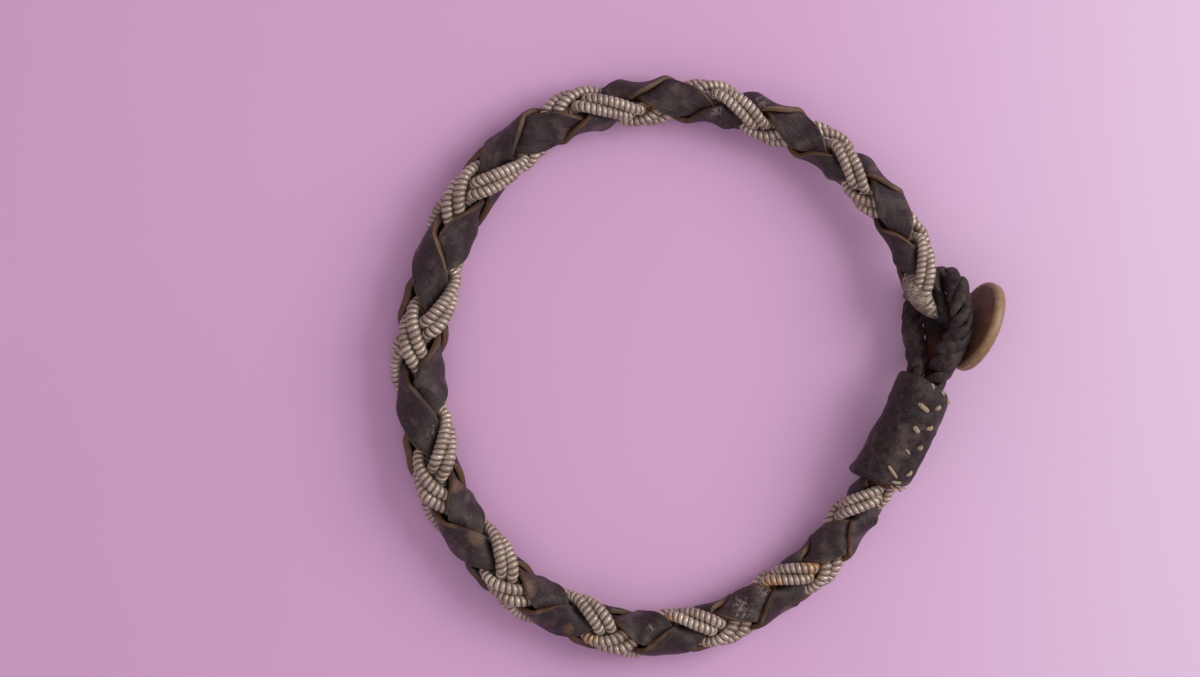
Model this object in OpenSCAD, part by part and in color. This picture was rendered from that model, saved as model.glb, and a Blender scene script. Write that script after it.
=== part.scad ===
// Round braided bracelet of four strands, closed by a loop over a disc button.
// Two strands are flat leather strips and two are pairs of wire-wound cords.
// Millimetres. The bracelet lies on the plane z = 0, with +Y away from the viewer.

/* [Braid] */
// Diameter of one wound cord, where the braid is thickest
cord_d = 1.4; // [1:0.1:1.4]
// Width of a leather strip, laid flat, where the braid is thickest
strip_w = 4.3; // [3:0.1:4.3]
// Thickness of a leather strip, where the braid is thickest
strip_t = 1; // [0.8:0.1:1]
// Gap between the two cords of a pair
pair_gap = 0.15; // [0.1:0.05:0.2]
// How loosely the strands are braided
looseness = 1.05; // [1.05:0.01:1.08]

/* [Sleeve] */
// Thickness of the sleeve's leather
sleeve_wall = 1; // [0.8:0.1:1]
// Outer radius of the sleeve where the braid enters
sleeve_r_braid = 4; // [4:0.1:4.3]
// Outer radius of the sleeve where the loop enters
sleeve_r_loop = 3.6; // [3.6:0.1:4]

/* [Clasp] */
// Thickness of the plaited thong of the loop
thong_d = 2.7; // [2.2:0.1:2.7]
// Diameter of the antler button
button_d = 11.7; // [11:0.1:12.6]
// Thickness of the antler button
button_t = 1.4; // [1.2:0.1:1.8]
// Thickness of the leather neck at the button
neck_d = 2; // [1.4:0.1:2]

/* [Hidden] */

// Centre of the ring, so that the whole bracelet is centred on the origin
ring_x = -4.1;
ring_y = -0.1;

// Axis of the braid, a row for every 30 degrees clockwise from +X: [radius, height]
RING_STEP = 30;
RADIUS = 0;
HEIGHT = 1;
RING = [
    [32.5, 6.7],
    [30.2, 4.4],
    [31.3, 3.35],
    [33.2, 3.3],
    [32.9, 3.2],
    [31.4, 3.35],
    [30.3, 3.45],
    [31.3, 3.35],
    [33.4, 3.55],
    [33.5, 3.35],
    [33.8, 3.8],
    [34.2, 5.4]
];

// Turns of the braid. Row n stands where the pairs of cords cross for the nth time:
// [clockwise angle round the ring, angle of that crossing from the top towards the outside,
// girth of the braid there]
PLACE = 0;
TWIST = 1;
GIRTH = 2;
CROSSINGS = [
    [-21, 102, 0.86],
    [3.5, 96, 0.86],
    [28, 76, 0.83],
    [52.5, 63, 0.89],
    [77, 58, 0.89],
    [101, 46, 0.92],
    [125.5, 38, 0.92],
    [153.5, 42, 0.98],
    [187.5, 32, 1],
    [221.5, 50, 0.95],
    [251, 76, 0.9],
    [280, 96, 0.84],
    [306.5, 94, 0.82],
    [332, 108, 0.8],
    [359, 130, 0.8],
    [382, 118, 0.8]
];

// Where the strands start inside the sleeve and where they stop at the clasp, in turns
turn_start = 1.5;
turn_end_cords = 13.54;
turn_end_strips = 13.42;
rings_per_turn = 12;

// Strands, a row each. A axis: towards the cords' crossing. B axis: a quarter turn on.
// hand: -1 runs inward over the top. side: 1 cords, -1 leather, half a turn away.
// swing and bulge: first and third harmonic of the path along A and along B.
// lag: lengthwise shift in turns, twice and four times a turn. lean, roll: degrees.
// cup: bend across a strip in degrees for each mm, and how it changes. spread: width change.
HAND = 0;
SIDE = 1;
SWING_A = 2;
BULGE_A = 3;
SWING_B = 4;
BULGE_B = 5;
LAG = 6;
LAG_FINE = 7;
LEAN = 8;
ROLL = 9;
CUP = 10;
CUP_CHANGE = 11;
SPREAD = 12;
CORDS_A = [-1, 1, 1.15, -0.75, 2.6, -0.4, -0.06, 0.0225, -35, 10, 0, 0, 0];
CORDS_B = [1, 1, 2, 0.6, 0.6, 0.4, 0.06, 0.01, 27.5, 10, 0, 0, 0];
STRIP_A = [-1, -1, 0.85, 0.15, 2.5, 0.475, 0, -0.005, 10, 12.5, 6, -6, -0.25];
STRIP_B = [1, -1, 2.45, -0.3, 1.75, 0.25, 0.005, -0.0025, -30, -25, 10, -8, 0.1];

// Unit vector
function unit(v) = v / norm(v);

// Catmull-Rom value between p1 and p2, with f from 0 to 1
function smooth(p0, p1, p2, p3, f) =
    p1 + 0.5 * f * (p2 - p0 + f * (2 * p0 - 5 * p1 + 4 * p2 - p3 + f * (3 * (p1 - p2) + p3 - p0)));

// Radius or height of the braid's axis at clockwise angle a
function ring_row(i) = RING[(i + 2 * len(RING)) % len(RING)];
function ring_value(a, column) =
    let (x = a / RING_STEP, i = floor(x))
    smooth(ring_row(i - 1)[column], ring_row(i)[column], ring_row(i + 1)[column],
        ring_row(i + 2)[column], x - i);
function ring_point(a) =
    let (r = ring_value(a, RADIUS))
    [ring_x + r * cos(a), ring_y - r * sin(a), ring_value(a, HEIGHT)];

// Tangent, outward and upward directions of the ring at clockwise angle a
function ring_tangent(a) = unit(ring_point(a + 1) - ring_point(a - 1));
function ring_outward(a) =
    let (t = ring_tangent(a), o = [cos(a), -sin(a), 0])
    unit(o - (o * t) * t);
function ring_upward(a) = cross(ring_tangent(a), ring_outward(a));

// Place or twist at turn u of the braid
function braid_value(u, column) =
    let (i = floor(u))
    smooth(CROSSINGS[i - 1][column], CROSSINGS[i][column], CROSSINGS[i + 1][column],
        CROSSINGS[i + 2][column], u - i);
function braid_point(u) = ring_point(braid_value(u, PLACE));
function braid_pitch(u) = 2 * norm(braid_point(u + 0.25) - braid_point(u - 0.25));

// Columns A, B and lengthwise of the braid's section at turn u
function braid_axes(u) =
    let (a = braid_value(u, PLACE), w = braid_value(u, TWIST))
    let (up = ring_upward(a), out = ring_outward(a))
    [cos(w) * up + sin(w) * out, cos(w) * out - sin(w) * up, ring_tangent(a)];

// Scale of the braid's section at turn u: it is squeezed where it sits in the sleeve
function squeeze(u) =
    let (f = min(1, max(0, (u - 1.95) / 0.35)))
    braid_value(u, GIRTH) * (0.87 + 0.13 * f * f * (3 - 2 * f));

// Path of a strand across the section, and its direction, at turn u
function strand_across(s, u) =
    let (p = 360 * u)
    looseness * s[SIDE] * [s[SWING_A] * cos(p) + s[BULGE_A] * cos(3 * p),
        s[HAND] * (s[SWING_B] * sin(p) + s[BULGE_B] * sin(3 * p)), 0];
function strand_heading(s, u) =
    let (p = 360 * u)
    let (k = looseness * s[SIDE])
    unit([-k * (s[SWING_A] * sin(p) + 3 * s[BULGE_A] * sin(3 * p)),
        k * s[HAND] * (s[SWING_B] * cos(p) + 3 * s[BULGE_B] * cos(3 * p)),
        braid_pitch(u) * (1 / (2 * PI) + 2 * s[LAG] * cos(2 * p) + 4 * s[LAG_FINE] * cos(4 * p))]);

// Outward face direction of a strand and its width direction, before and after its roll
function strand_face(s, u) =
    let (p = 360 * u, t = strand_heading(s, u), a = s[HAND] * (p + s[LEAN] * sin(2 * p)))
    let (n = s[SIDE] * [cos(a), sin(a), 0])
    unit(n - (n * t) * t);
function strand_frame(s, u) =
    let (t = strand_heading(s, u), n = strand_face(s, u), e = cross(t, n))
    let (r = s[ROLL] * sin(720 * u))
    [e * cos(r) + n * sin(r), n * cos(r) - e * sin(r)];

// World points of a strand's section at turn u, from [width, thickness] points
function strand_section(s, u, points) =
    let (shifted = u + s[LAG] * sin(720 * u) + s[LAG_FINE] * sin(1440 * u))
    let (axes = braid_axes(shifted), middle = braid_point(shifted), k = squeeze(u))
    let (f = strand_frame(s, u), across = strand_across(s, u))
    [for (q = points)
        let (v = k * (across + q[0] * f[0] + q[1] * f[1]))
        middle + v[0] * axes[0] + v[1] * axes[1] + v[2] * axes[2]];

// Section of a round cord beside the middle of its pair
cord_sides = 7;
function cord_points(offset) =
    [for (i = [0 : cord_sides - 1])
        [offset + cord_d / 2 * cos(360 * i / cord_sides), cord_d / 2 * sin(360 * i / cord_sides)]];

// Section of a leather strip, cupped by the bend of its row, with narrow rounded edges
function strip_flat(half) =
    concat([for (i = [0 : 3]) [half * (1 - 2 * i / 3), strip_t / 2]], [[-half - strip_t / 2, 0]],
        [for (i = [0 : 3]) [half * (2 * i / 3 - 1), -strip_t / 2]], [[half + strip_t / 2, 0]]);
function strip_points(s, u) =
    let (wanted = s[CUP] + s[CUP_CHANGE] * cos(720 * u), bend = abs(wanted) < 0.2 ? 0.2 : wanted)
    let (reach = 180 / PI / bend)
    let (half = (strip_w - strip_t) / 2 * (1 + s[SPREAD] * cos(720 * u)))
    [for (q = strip_flat(half))
        [(reach + q[1]) * sin(bend * q[0]), (reach + q[1]) * cos(bend * q[0]) - reach]];

// Faces of a closed tube of rings of n points each, whose first point is number start
function tube_faces(rings, n, start = 0) = concat(
    [[for (i = [0 : n - 1]) start + i]],
    [[for (i = [n - 1 : -1 : 0]) start + (rings - 1) * n + i]],
    [for (r = [0 : rings - 2], i = [0 : n - 1])
        let (j = (i + 1) % n, a = start + r * n)
        each [[a + i, a + n + i, a + n + j], [a + i, a + n + j, a + j]]]);

// Solid swept through rings of points
module tube(rings) {
    polyhedron(points = [for (r = rings) each r], faces = tube_faces(len(rings), len(rings[0])));
}

// Two cords of a pair, side by side, in one polyhedron
module cord_pair(s) {
    offset = (cord_d + pair_gap) / 2;
    count = round((turn_end_cords - turn_start) * rings_per_turn);
    turns = [for (i = [0 : count]) turn_start + (turn_end_cords - turn_start) * i / count];
    left = [for (u = turns) each strand_section(s, u, cord_points(-offset))];
    right = [for (u = turns) each strand_section(s, u, cord_points(offset))];
    polyhedron(points = concat(left, right),
        faces = concat(tube_faces(count + 1, cord_sides), tube_faces(count + 1, cord_sides, len(left))));
}

module strip(s) {
    count = round((turn_end_strips - turn_start) * rings_per_turn);
    tube([for (i = [0 : count])
        let (u = turn_start + (turn_end_strips - turn_start) * i / count)
        strand_section(s, u, strip_points(s, u))]);
}

// Sleeve: a hollow wall round the ring's axis between two clockwise angles. Its end at the
// braid is cut aslant, so that it is longer towards the wrist.
sleeve_from = 4.5;
sleeve_to = 27;
sleeve_slant = 2.2;
sleeve_steps = 9;
sleeve_sides = 24;
function sleeve_point(a, r, turned) =
    ring_point(a) + r * (cos(turned) * ring_outward(a) + sin(turned) * ring_upward(a));
function sleeve_rings(inset) =
    [for (i = [0 : sleeve_steps])
        let (f = i / sleeve_steps, r = sleeve_r_loop + f * (sleeve_r_braid - sleeve_r_loop) - inset)
        let (a = sleeve_from + f * (sleeve_to - sleeve_from))
        [for (k = [0 : sleeve_sides - 1])
            let (turned = 360 * k / sleeve_sides)
            sleeve_point(a - f * sleeve_slant * cos(turned), r, turned)]];
function backward(list) = [for (i = [len(list) - 1 : -1 : 0]) list[i]];

// Faces of rings that close into a loop of rings, as the outside and inside of a wall do
function wrap_faces(rings, n) =
    [for (r = [0 : rings - 1], i = [0 : n - 1])
        let (j = (i + 1) % n, a = r * n, b = ((r + 1) % rings) * n)
        each [[a + i, b + i, b + j], [a + i, b + j, a + j]]];

// Loop: thong whose middle runs from the sleeve under the braid's end, over it and back.
// Rows are [x, y, z, share of full thickness] from the ring's centre.
LOOP = [
    [29.7, -6.3, 6.2, 0.83],
    [30.7, -3.2, 6.6, 0.83],
    [31.5, -0.4, 6.2, 0.9],
    [31.4, 2.9, 4.6, 1],
    [31.2, 6.0, 3.1, 1],
    [31.9, 8.8, 1.8, 0.95],
    [34.0, 10.9, 2.2, 1],
    [36.2, 11.4, 4.7, 1],
    [37.2, 10.2, 7.1, 1],
    [37.5, 7.7, 8.7, 1],
    [37.0, 4.7, 8.9, 1],
    [35.5, 1.8, 7.9, 1.2],
    [34.0, -0.9, 6.8, 1.02],
    [33.2, -3.5, 6.6, 0.83],
    [32.2, -6.8, 6.2, 0.83]
];
loop_steps = 3;
loop_sides = 8;

// Neck: leather from the braid's end to the middle of the button, under the loop.
// Rows are [x, y, z, half width, half height] from the ring's centre.
NECK = [
    [34.95, 9.1, 6.2, 0.7, 1.5],
    [34.8, 8.0, 6.1, 1.1, 1.8],
    [35.0, 6.7, 5.9, 1.25, 1.6],
    [36.1, 5.6, 5.7, 1.1, 1.1],
    [37.7, 5.5, 5.6, 1, 1]
];
neck_steps = 2;
neck_sides = 10;

// Row at position x of a table, eased between its rows; the ends run straight on
function table_row(rows, i) =
    i < 0 ? 2 * rows[0] - rows[1]
    : i >= len(rows) ? 2 * rows[len(rows) - 1] - rows[len(rows) - 2]
    : rows[i];
function table_at(rows, x) =
    let (i = max(0, min(floor(x), len(rows) - 2)), f = x - i)
    let (p0 = table_row(rows, i - 1), p1 = rows[i], p2 = rows[i + 1], p3 = table_row(rows, i + 2))
    p1 + 0.5 * f * ((p2 - p0) + f * ((2 * p0 - 5 * p1 + 4 * p2 - p3) + f * (3 * (p1 - p2) + p3 - p0)));
function place(p) = [ring_x + p[0], ring_y + p[1], p[2]];

// Oval ring of points round a route, w wide and h high
function route_ring(rows, x, n, w, h) =
    let (t = unit(place(table_at(rows, x + 0.02)) - place(table_at(rows, x - 0.02))))
    let (side = unit(cross([0, 0, 1], t)), up = cross(t, side), middle = place(table_at(rows, x)))
    [for (i = [0 : n - 1])
        middle + w * cos(360 * i / n) * side + h * sin(360 * i / n) * up];

// Button: leans outward at its top and stands on its rim
button_lean = 18;
button_azimuth = -22;
button_x = 38.95;
button_y = 5.2;
button_edge = 0.5;
button_z = button_edge + (button_d / 2 - button_edge) * cos(button_lean)
    + (button_t / 2 - button_edge) * sin(button_lean);

module leather_strip_a() {
    color([0.17, 0.15, 0.14]) strip(STRIP_A);
}

module leather_strip_b() {
    color([0.2, 0.17, 0.15]) strip(STRIP_B);
}

module wound_cords_a() {
    color([0.68, 0.64, 0.6]) cord_pair(CORDS_A);
}

module wound_cords_b() {
    color([0.62, 0.6, 0.58]) cord_pair(CORDS_B);
}

module end_sleeve() {
    rings = concat(sleeve_rings(0), backward(sleeve_rings(sleeve_wall)));
    color([0.18, 0.15, 0.14])
    polyhedron(points = [for (r = rings) each r], faces = wrap_faces(len(rings), sleeve_sides));
}

module clasp_loop() {
    count = (len(LOOP) - 1) * loop_steps;
    color([0.13, 0.12, 0.12])
    tube([for (i = [0 : count])
        let (r = thong_d / 2 * table_at(LOOP, i / loop_steps)[3])
        route_ring(LOOP, i / loop_steps, loop_sides, r, r)]);
}

module button_neck() {
    count = (len(NECK) - 1) * neck_steps;
    k = neck_d / 2;
    color([0.22, 0.17, 0.13])
    tube([for (i = [0 : count])
        let (row = table_at(NECK, i / neck_steps))
        route_ring(NECK, i / neck_steps, neck_sides, k * row[3], k * row[4])]);
}

module antler_button() {
    color([0.72, 0.6, 0.44])
    translate([ring_x + button_x, ring_y + button_y, button_z])
    rotate([0, 90 + button_lean, button_azimuth])
    translate([0, 0, -button_t / 2])
    rotate_extrude($fn = 64) {
        square([button_d / 2 - button_edge, button_t]);
        translate([0, button_edge]) square([button_d / 2, button_t - 2 * button_edge]);
        translate([button_d / 2 - button_edge, button_edge]) circle(button_edge, $fn = 24);
        translate([button_d / 2 - button_edge, button_t - button_edge]) circle(button_edge, $fn = 24);
    }
}

leather_strip_a();
leather_strip_b();
wound_cords_a();
wound_cords_b();
end_sleeve();
clasp_loop();
button_neck();
antler_button();
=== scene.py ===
import bpy
import numpy as np
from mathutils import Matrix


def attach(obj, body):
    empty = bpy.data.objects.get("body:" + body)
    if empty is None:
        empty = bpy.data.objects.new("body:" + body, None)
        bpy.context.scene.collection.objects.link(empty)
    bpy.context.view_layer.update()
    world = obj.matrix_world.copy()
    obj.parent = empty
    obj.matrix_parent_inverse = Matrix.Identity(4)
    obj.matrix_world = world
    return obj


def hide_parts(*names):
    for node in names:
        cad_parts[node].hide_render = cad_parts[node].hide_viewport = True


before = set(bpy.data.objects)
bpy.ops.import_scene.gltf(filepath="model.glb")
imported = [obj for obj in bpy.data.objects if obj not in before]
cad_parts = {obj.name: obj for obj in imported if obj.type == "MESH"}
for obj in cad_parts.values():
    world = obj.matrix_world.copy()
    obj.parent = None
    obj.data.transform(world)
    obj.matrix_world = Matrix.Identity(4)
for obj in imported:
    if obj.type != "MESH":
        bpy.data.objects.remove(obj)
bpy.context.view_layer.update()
scene = bpy.context.scene


# PAPER, LIGHT AND CAMERA
# The bracelet lies on plain lilac paper, which is a stage and no part of it. Wide soft light
# comes from the right, and the camera looks straight down, as in a plain product picture.


def paint(red, green, blue):
    """Linear colour of screen values from 0 to 255, by the usual screen curve."""
    c = np.array([red, green, blue]) / 255
    return (*np.where(c < 0.04045, c / 12.92, ((c + 0.055) / 1.055) ** 2.4).tolist(), 1)


def add(tree, kind, sockets={}, **settings):
    """Adds a node of that kind; each socket gets a value, or a link if it is given an output."""
    made = tree.nodes.new("ShaderNode" + kind)
    for name, value in settings.items():
        setattr(made, name, value)
    for name, value in sockets.items():
        if isinstance(value, bpy.types.NodeSocket):
            tree.links.new(value, made.inputs[name])
        else:
            made.inputs[name].default_value = value
    return made


def new_material(name, roughness, specular):
    """Material with one Principled surface. Returns it, its node tree, and the place on the
    piece in Object coordinates, in metres."""
    material = bpy.data.materials.new(name)
    material.use_nodes = True
    surface = material.node_tree.nodes["Principled BSDF"]
    surface.inputs["Roughness"].default_value = roughness
    surface.inputs["Specular IOR Level"].default_value = specular
    where = add(material.node_tree, "TexCoord").outputs["Object"]
    return material, material.node_tree, where


def mix(tree, share, first, second):
    """Colour between first and second by share."""
    return add(tree, "Mix", {0: share, 6: first, 7: second}, data_type="RGBA").outputs[2]


def spread(tree, value, low, high, to_low=0.0, to_high=1.0):
    """Value from low to high, eased and stretched over to_low to to_high."""
    sockets = {"Value": value, "From Min": low, "From Max": high,
               "To Min": to_low, "To Max": to_high}
    return add(tree, "MapRange", sockets, interpolation_type="SMOOTHSTEP").outputs["Result"]


def noise(tree, vector, scale, detail=3.0, roughness=0.5, distortion=0.0):
    """Cloudy pattern between about 0.2 and 0.8; scale is its features in each metre or unit."""
    sockets = {"Vector": vector, "Scale": scale, "Detail": detail, "Roughness": roughness}
    return add(tree, "TexNoise", {**sockets, "Distortion": distortion}).outputs["Fac"]


def finish_surface(tree, **sockets):
    """Links outputs to the Principled surface; an underscore stands for a space."""
    surface = tree.nodes["Principled BSDF"]
    for name, value in sockets.items():
        tree.links.new(value, surface.inputs[name.replace("_", " ")])


paper_half = 0.6
paper_material, tree, where = new_material("lilac_paper", roughness=0.85, specular=0.2)
paper_clouds = noise(tree, where, 14.0, detail=2.0)
paper_lilac = mix(tree, paper_clouds, paint(225, 180, 222), paint(231, 187, 229))
# Painted light: the paper's colour grows lighter towards +X, where the window lamp stands, as a
# painted pool of its light.
paper_x = add(tree, "SeparateXYZ", {"Vector": where}).outputs["X"]
paper_lit = spread(tree, paper_x, 0.0, 0.07)
finish_surface(tree, Base_Color=mix(tree, paper_lit, paper_lilac, paint(234, 208, 237)))
paper_mesh = bpy.data.meshes.new("paper")
paper_corners = [(-paper_half, -paper_half, 0), (paper_half, -paper_half, 0),
                 (paper_half, paper_half, 0), (-paper_half, paper_half, 0)]
paper_mesh.from_pydata(paper_corners, [], [(0, 1, 2, 3)])
paper_mesh.materials.append(paper_material)
paper = bpy.data.objects.new("paper", paper_mesh)
scene.collection.objects.link(paper)


def soft_lamp(name, place, side, power, tint):
    """Square lamp at place that faces the middle of the bracelet."""
    lamp = bpy.data.lights.new(name, "AREA")
    lamp.size = side
    lamp.energy = power
    lamp.color = tint
    lamp_object = bpy.data.objects.new(name, lamp)
    lamp_object.location = place
    facing = lamp_object.location.copy()
    facing.negate()
    lamp_object.rotation_euler = facing.to_track_quat("-Z", "Y").to_euler()
    scene.collection.objects.link(lamp_object)


soft_lamp("window", (0.34, 0.1, 0.27), 0.28, 1.22, (1.0, 0.99, 0.97))
soft_lamp("ceiling", (-0.1, -0.2, 0.5), 0.5, 0.34, (0.97, 0.96, 1.0))
world = bpy.data.worlds.new("room")
world.use_nodes = True
world.node_tree.nodes["Background"].inputs["Color"].default_value = (1.0, 0.82, 0.91, 1)
world.node_tree.nodes["Background"].inputs["Strength"].default_value = 0.41
scene.world = world
scene.view_settings.view_transform = "Standard"

camera_x, camera_y, camera_height = -0.011975, 0.0035875, 0.4
view_width, view_level = 0.15, 0.0036
sensor_width = 36
camera_data = bpy.data.cameras.new("camera")
camera_data.sensor_width = sensor_width
camera_data.lens = sensor_width * (camera_height - view_level) / view_width
camera_data.clip_start = 0.01
camera = bpy.data.objects.new("camera", camera_data)
camera.location = (camera_x, camera_y, camera_height)
scene.collection.objects.link(camera)
scene.camera = camera


# WOUND CORDS
# Two pairs of cords, each a dark thread core wound closely with fine pewter wire. The pairs
# cross each other in the round braid, side by side with the leather strips, and their worn
# tips lie over the end of the braid at the clasp.

# Shapes are in millimetres from here on; patterns and bumps of materials stay in metres.
# Middle of the ring, and the braid's axis round it: a row of radius and height for every 30
# degrees clockwise from +X
ring_x, ring_y = -4.1, -0.1
ring_step = 30
RING = np.array([
    [32.5, 6.7], [30.2, 4.4], [31.3, 3.35], [33.2, 3.3], [32.9, 3.2], [31.4, 3.35],
    [30.3, 3.45], [31.3, 3.35], [33.4, 3.55], [33.5, 3.35], [33.8, 3.8], [34.2, 5.4],
])
# Crossings of the cords along the braid: clockwise place in degrees, twist in degrees, girth
CROSSINGS = np.array([
    [-21, 102, 0.86], [3.5, 96, 0.86], [28, 76, 0.83], [52.5, 63, 0.89],
    [77, 58, 0.89], [101, 46, 0.92], [125.5, 38, 0.92], [153.5, 42, 0.98],
    [187.5, 32, 1], [221.5, 50, 0.95], [251, 76, 0.9], [280, 96, 0.84],
    [306.5, 94, 0.82], [332, 108, 0.8], [359, 130, 0.8], [382, 118, 0.8],
])
# Strands of the braid: hand and side of the path, its swing and bulge in millimetres and its
# lag in turns, the lean and roll of the face in degrees, and the turn at which a cord ends
CORDS_A = dict(hand=-1, side=1, swing=(1.15, 2.6), bulge=(-0.75, -0.4), lag=(-0.06, 0.0225),
               lean=-35, roll=10, end=13.51)
CORDS_B = dict(hand=1, side=1, swing=(2, 0.6), bulge=(0.6, 0.4), lag=(0.06, 0.01),
               lean=27.5, roll=10, end=13.47)
looseness = 1.05
turn_start = 1.5
# Where the sleeve grips the braid: first turn, length in turns, least scale, what it gains
grip_start, grip_length = 1.95, 0.35
grip_least, grip_gain = 0.87, 0.13
millimetre = 0.001


def unit(v):
    """Rows of v, each scaled to length 1."""
    return v / np.linalg.norm(v, axis=-1, keepdims=True)


def square_to(v, t):
    """Part of each row of v that is square to the unit row of t, at length 1."""
    return unit(v - (v * t).sum(-1, keepdims=True) * t)


def eased(rows, x, closed=False):
    """Rows of a table at positions x, by a Catmull-Rom curve through them. A closed table
    goes on from its last row to its first; an open one runs straight on past its ends."""
    count = len(rows)
    i = np.floor(x).astype(int)
    if closed:
        p0, p1, p2, p3 = (rows[(i + k) % count] for k in (-1, 0, 1, 2))
    else:
        i = np.clip(i, 0, count - 2)
        ends = np.vstack([2 * rows[0] - rows[1], rows, 2 * rows[-1] - rows[-2]])
        p0, p1, p2, p3 = (ends[i + k] for k in (0, 1, 2, 3))
    f = (x - i)[:, None]
    curved = 2 * p0 - 5 * p1 + 4 * p2 - p3 + f * (3 * (p1 - p2) + p3 - p0)
    return p1 + 0.5 * f * (p2 - p0 + f * curved)


def ring_point(place):
    """Point of the braid's axis at clockwise places in degrees."""
    radius, height = eased(RING, place / ring_step, closed=True).T
    turn = np.radians(place)
    return np.column_stack([ring_x + radius * np.cos(turn),
                            ring_y - radius * np.sin(turn), height])


def ring_axes(place):
    """Tangent, outward and upward directions of the braid's axis at clockwise places."""
    turn = np.radians(place)
    tangent = unit(ring_point(place + 1) - ring_point(place - 1))
    outward = square_to(np.column_stack([np.cos(turn), -np.sin(turn), 0 * turn]), tangent)
    return tangent, outward, np.cross(tangent, outward)


def braid_axes(u):
    """Middle of the braid at turns u, and its axes: towards the crossing, a quarter turn on,
    and lengthwise."""
    place, twist, _ = eased(CROSSINGS, u).T
    tangent, outward, upward = ring_axes(place)
    c, s = np.cos(np.radians(twist))[:, None], np.sin(np.radians(twist))[:, None]
    return ring_point(place), c * upward + s * outward, c * outward - s * upward, tangent


def squeeze(u):
    """Scale of the braid's section: its girth, and tighter where it sits in the sleeve, by
    the smooth step 3 f^2 - 2 f^3."""
    f = np.clip((u - grip_start) / grip_length, 0, 1)
    return eased(CROSSINGS, u)[:, 2] * (grip_least + grip_gain * f * f * (3 - 2 * f))


def strand_frame(strand, u):
    """Middle of a strand at turns u, its width and face directions, and its scale. The path
    across the braid's section is swing times the cosine and sine of the turn, plus bulge
    times those of three times the turn. It lags lengthwise by sines of twice and four times
    the turn, and its face leans and rolls by sines of twice the turn. Its heading is the
    slope of that path."""
    p = 2 * np.pi * u
    k = looseness * strand["side"]
    (swing_a, swing_b), (bulge_a, bulge_b) = strand["swing"], strand["bulge"]
    lag, lag_fine = strand["lag"]
    hand = strand["hand"]
    across_a = k * (swing_a * np.cos(p) + bulge_a * np.cos(3 * p))
    across_b = k * hand * (swing_b * np.sin(p) + bulge_b * np.sin(3 * p))
    before, after = (ring_point(eased(CROSSINGS, u + step)[:, 0]) for step in (-0.25, 0.25))
    pitch = 2 * np.linalg.norm(after - before, axis=1)
    heading = unit(np.column_stack([
        -k * (swing_a * np.sin(p) + 3 * bulge_a * np.sin(3 * p)),
        k * hand * (swing_b * np.cos(p) + 3 * bulge_b * np.cos(3 * p)),
        pitch * (1 / (2 * np.pi) + 2 * lag * np.cos(2 * p) + 4 * lag_fine * np.cos(4 * p)),
    ]))
    facing = hand * (p + np.radians(strand["lean"]) * np.sin(2 * p))
    face = strand["side"] * np.column_stack([np.cos(facing), np.sin(facing), 0 * u])
    face = square_to(face, heading)
    width = np.cross(heading, face)
    rolled = np.radians(strand["roll"] * np.sin(2 * p))[:, None]
    width, face = (width * np.cos(rolled) + face * np.sin(rolled),
                   face * np.cos(rolled) - width * np.sin(rolled))
    middle, *axes = braid_axes(u + lag * np.sin(2 * p) + lag_fine * np.sin(4 * p))
    axes = np.stack(axes, axis=1)
    scale = squeeze(u)[:, None]
    across = np.column_stack([across_a, across_b, 0 * u])
    to_world = [np.einsum("ni,nij->nj", v, axes) for v in (across, width, face)]
    return middle + scale * to_world[0], to_world[1], to_world[2], scale


def tube_faces(rings, sides, first, joined):
    """Quads between rings of points, closed round. Either the last ring is joined to the
    first, as in a wall with two sides, or a many-sided face lies over each end."""
    ring, side = np.divmod(np.arange((rings - 1 + joined) * sides), sides)
    a, b = first + ring * sides, first + (ring + 1) % rings * sides
    after = (side + 1) % sides
    quads = np.column_stack([a + side, a + after, b + after, b + side]).tolist()
    if joined:
        return quads
    start = first + np.arange(sides)
    return quads + [start[::-1].tolist(), (start + (rings - 1) * sides).tolist()]


def tubes(*all_rings, joined=False):
    """Points and faces of one or more tubes of rings, together in one mesh."""
    points, faces, count = [], [], 0
    for rings in all_rings:
        faces += tube_faces(*rings.shape[:2], count, joined)
        points.append(rings.reshape(-1, 3))
        count += len(points[-1])
    return np.vstack(points), faces


def make_piece(name, points, faces, material, **columns):
    """Object of that name from points in millimetres, smooth shaded. Each column is kept on
    the mesh as an attribute of its own, which the material reads."""
    mesh = bpy.data.meshes.new(name)
    mesh.from_pydata((points * millimetre).tolist(), [], faces)
    mesh.polygons.foreach_set("use_smooth", np.ones(len(mesh.polygons), bool))
    for label, values in columns.items():
        mesh.attributes.new(label, "FLOAT", "POINT").data.foreach_set(
            "value", np.asarray(values, np.float32).ravel())
    mesh.materials.append(material)
    piece = bpy.data.objects.new(name, mesh)
    scene.collection.objects.link(piece)
    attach(piece, "root")
    return piece


cord_d, pair_gap = 1.4, 0.15
cord_swell, cord_samples = 0.1, 4000
wire_pitch = 0.68
wire_half_width, wire_half_height = 0.33, 0.14
wire_mid_depth, wire_depth_reach = 0.55, 0.45
wire_waver, waver_length = 0.03, 0.9
wire_steps, wire_sides = 16, 6
core_every, core_sides = 8, 10
tip_length, tip_closing = 0.8, 0.97
worn_length, worn_swell, worn_flattening = 3.6, 0.1, 0.6
paper_clearance = 0.01
# Places where the wire is worn down to tan thread: x, y, reach
TAN_WEAR = np.array([
    [9.8, -27.2, 1.8], [14.2, -24.7, 2.0], [-19.9, 31.5, 0.9], [-5.9, 32.2, 0.8],
    [-13.2, -33.9, 0.8], [-3.1, -31.2, 0.6],
])
# Cords' tips, worn together into one flat end, from the ring's middle:
# x, y, z, half width, half height
WORN_END = np.array([
    [31.2, 11.6, 7.0, 1.1, 0.5], [31.4, 10.4, 7.7, 1.6, 0.8], [31.6, 9.3, 7.9, 1.6, 0.9],
    [32.1, 8.3, 7.8, 1.35, 0.85], [33.0, 7.2, 7.4, 0.95, 0.75], [33.8, 6.4, 6.8, 0.4, 0.45],
])
lump_waves = 10


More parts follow.
